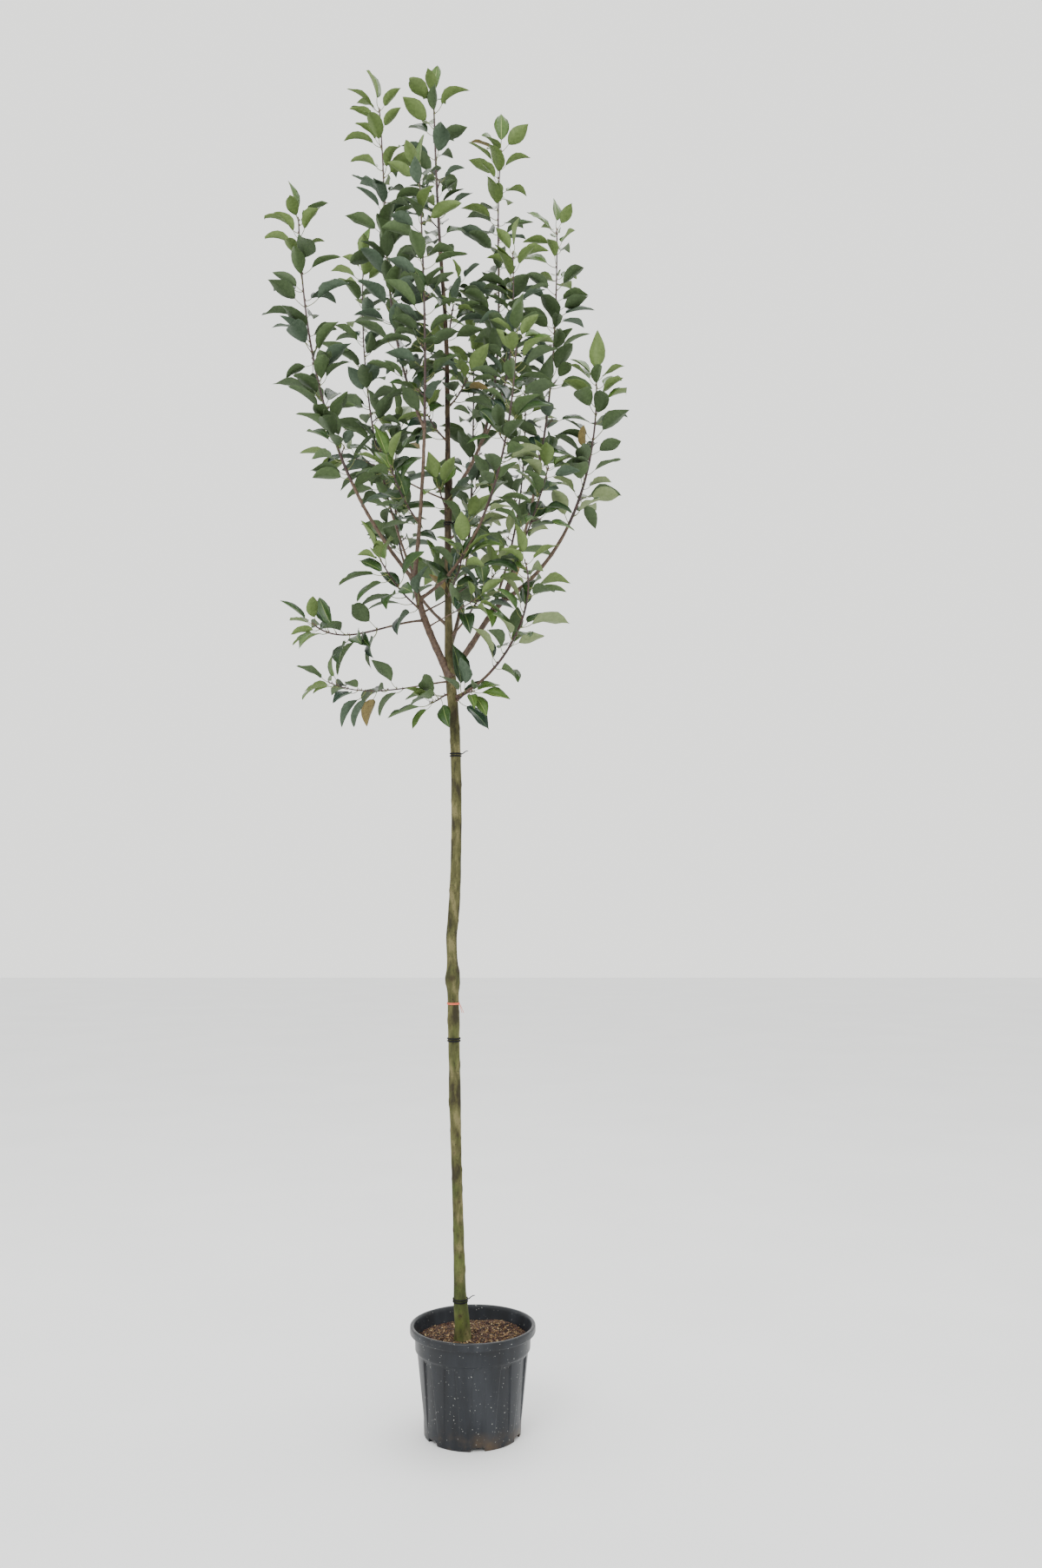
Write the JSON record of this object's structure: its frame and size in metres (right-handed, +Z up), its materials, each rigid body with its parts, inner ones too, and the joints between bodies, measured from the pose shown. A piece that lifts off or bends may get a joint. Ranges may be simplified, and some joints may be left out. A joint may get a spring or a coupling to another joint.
{
  "type": "potted apple tree",
  "caption": "Young apple tree on a tall clear stem, with an upright leafy crown, growing in a ribbed plastic nursery pot of potting bark.",
  "frame": {"origin": "middle of the pot's flat underside", "axes": "+Z up along the stem, -Y to the front, +X to the right seen from the front"},
  "size_m": [1.0628, 0.9285, 4.0591],
  "materials": {
    "pot_plastic": "satin",
    "potting_bark": "rough",
    "stem_bark": "matte",
    "shoot_bark": "satin",
    "foliage": "satin"
  },
  "bodies": {
    "root": {"bough_back_left": "shoot_bark", "bough_back_main": "shoot_bark", "bough_behind_cross": "shoot_bark", "bough_front_cross": "shoot_bark", "bough_front_twig": "shoot_bark", "bough_leader_left": "shoot_bark", "bough_leader_right": "shoot_bark", "bough_leader_side": "shoot_bark", "bough_left_back": "shoot_bark", "bough_left_high": "shoot_bark", "bough_left_inner": "shoot_bark", "bough_left_low": "shoot_bark", "bough_left_main": "shoot_bark", "bough_left_outer": "shoot_bark", "bough_low_twig": "shoot_bark", "bough_right_back": "shoot_bark", "bough_right_fill": "shoot_bark", "bough_right_inner": "shoot_bark", "bough_right_low": "shoot_bark", "bough_right_main": "shoot_bark", "bough_right_outer": "shoot_bark", "bough_right_twig": "shoot_bark", "leaves_back_fill": "foliage", "leaves_back_left": "foliage", "leaves_back_main": "foliage", "leaves_behind_cross": "foliage", "leaves_foot_left": "foliage", "leaves_foot_right": "foliage", "leaves_front_cross": "foliage", "leaves_front_fill": "foliage", "leaves_front_twig": "foliage", "leaves_leader_left": "foliage", "leaves_leader_right": "foliage", "leaves_leader_side": "foliage", "leaves_leader_tip": "foliage", "leaves_left_back": "foliage", "leaves_left_fill": "foliage", "leaves_left_high": "foliage", "leaves_left_inner": "foliage", "leaves_left_low": "foliage", "leaves_left_outer": "foliage", "leaves_left_spray": "foliage", "leaves_low_twig": "foliage", "leaves_right_back": "foliage", "leaves_right_fill": "foliage", "leaves_right_inner": "foliage", "leaves_right_low": "foliage", "leaves_right_outer": "foliage", "leaves_right_twig": "foliage", "leaves_spur_a": "foliage", "leaves_spur_b": "foliage", "leaves_spur_c": "foliage", "leaves_spur_d": "foliage", "leaves_spur_e": "foliage", "leaves_spur_f": "foliage", "leaves_spur_g": "foliage", "pot": "pot_plastic", "soil": "potting_bark", "trunk": "stem_bark"}
  },
  "joints": []
}
